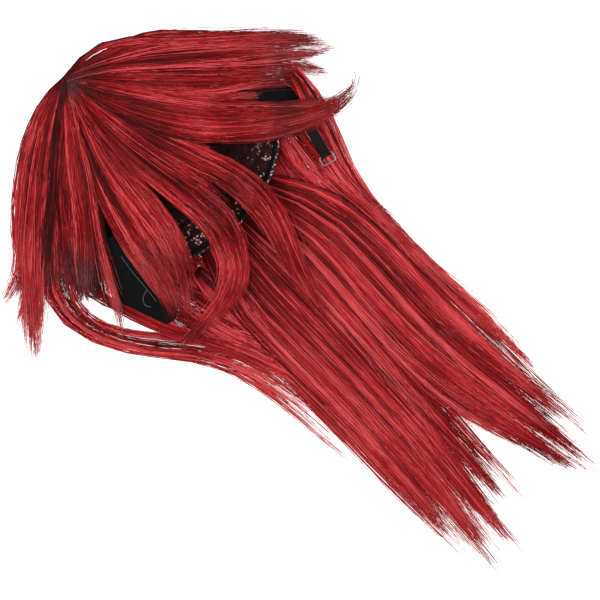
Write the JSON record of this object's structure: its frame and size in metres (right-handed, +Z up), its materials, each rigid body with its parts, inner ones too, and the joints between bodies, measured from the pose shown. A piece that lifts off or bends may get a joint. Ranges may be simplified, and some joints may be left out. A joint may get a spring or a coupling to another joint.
{
  "type": "cosplay wig",
  "caption": "Long straight red wig lying on its back: hollow net cap open at the face, short swept layers and fringe over it, long hair spread on the floor, nape strap with hook.",
  "frame": {"origin": "on the floor under the middle of the whole wig as it lies", "axes": "+X from the crown to the hair ends, +Y to the wearer's left, +Z up from the floor"},
  "size_m": [0.644, 0.434, 0.12],
  "materials": {
    "hair_fibre": "satin synthetic fibre",
    "cap_net": "black open net",
    "elastic": "black woven elastic",
    "ear_tab_cloth": "smooth black cloth",
    "weft_stitching": "stitched hair track",
    "hook_steel": "bright wire"
  },
  "bodies": {
    "root": {"cap_net": "cap_net", "nape_strap": "elastic", "strap_hook": "hook_steel", "forehead_band": "elastic", "nape_band": "elastic", "ear_tab_right": "ear_tab_cloth", "ear_tab_left": "ear_tab_cloth", "weft_row_1": "weft_stitching", "weft_row_2": "weft_stitching", "weft_row_3": "weft_stitching", "weft_row_4": "weft_stitching", "weft_row_5": "weft_stitching", "weft_row_6": "weft_stitching", "layer_right_1": "hair_fibre", "layer_right_2": "hair_fibre", "layer_right_3": "hair_fibre", "layer_right_4": "hair_fibre", "layer_right_5": "hair_fibre", "layer_right_wisp": "hair_fibre", "fringe_1": "hair_fibre", "fringe_2": "hair_fibre", "fringe_3": "hair_fibre", "fringe_4": "hair_fibre", "fringe_wide": "hair_fibre", "layer_left_curl": "hair_fibre", "layer_left_1": "hair_fibre", "layer_left_2": "hair_fibre", "layer_left_3": "hair_fibre", "layer_left_4": "hair_fibre", "back_hair_1": "hair_fibre", "back_hair_2": "hair_fibre", "back_hair_3": "hair_fibre", "back_hair_4": "hair_fibre", "back_hair_5": "hair_fibre", "back_hair_6": "hair_fibre", "back_hair_7": "hair_fibre", "back_hair_8": "hair_fibre", "nape_hair_1": "hair_fibre", "nape_hair_2": "hair_fibre", "nape_hair_3": "hair_fibre", "nape_hair_4": "hair_fibre", "nape_hair_5": "hair_fibre", "nape_hair_6": "hair_fibre", "nape_hair_7": "hair_fibre", "side_lock_right": "hair_fibre", "side_lock_left": "hair_fibre"}
  },
  "joints": []
}
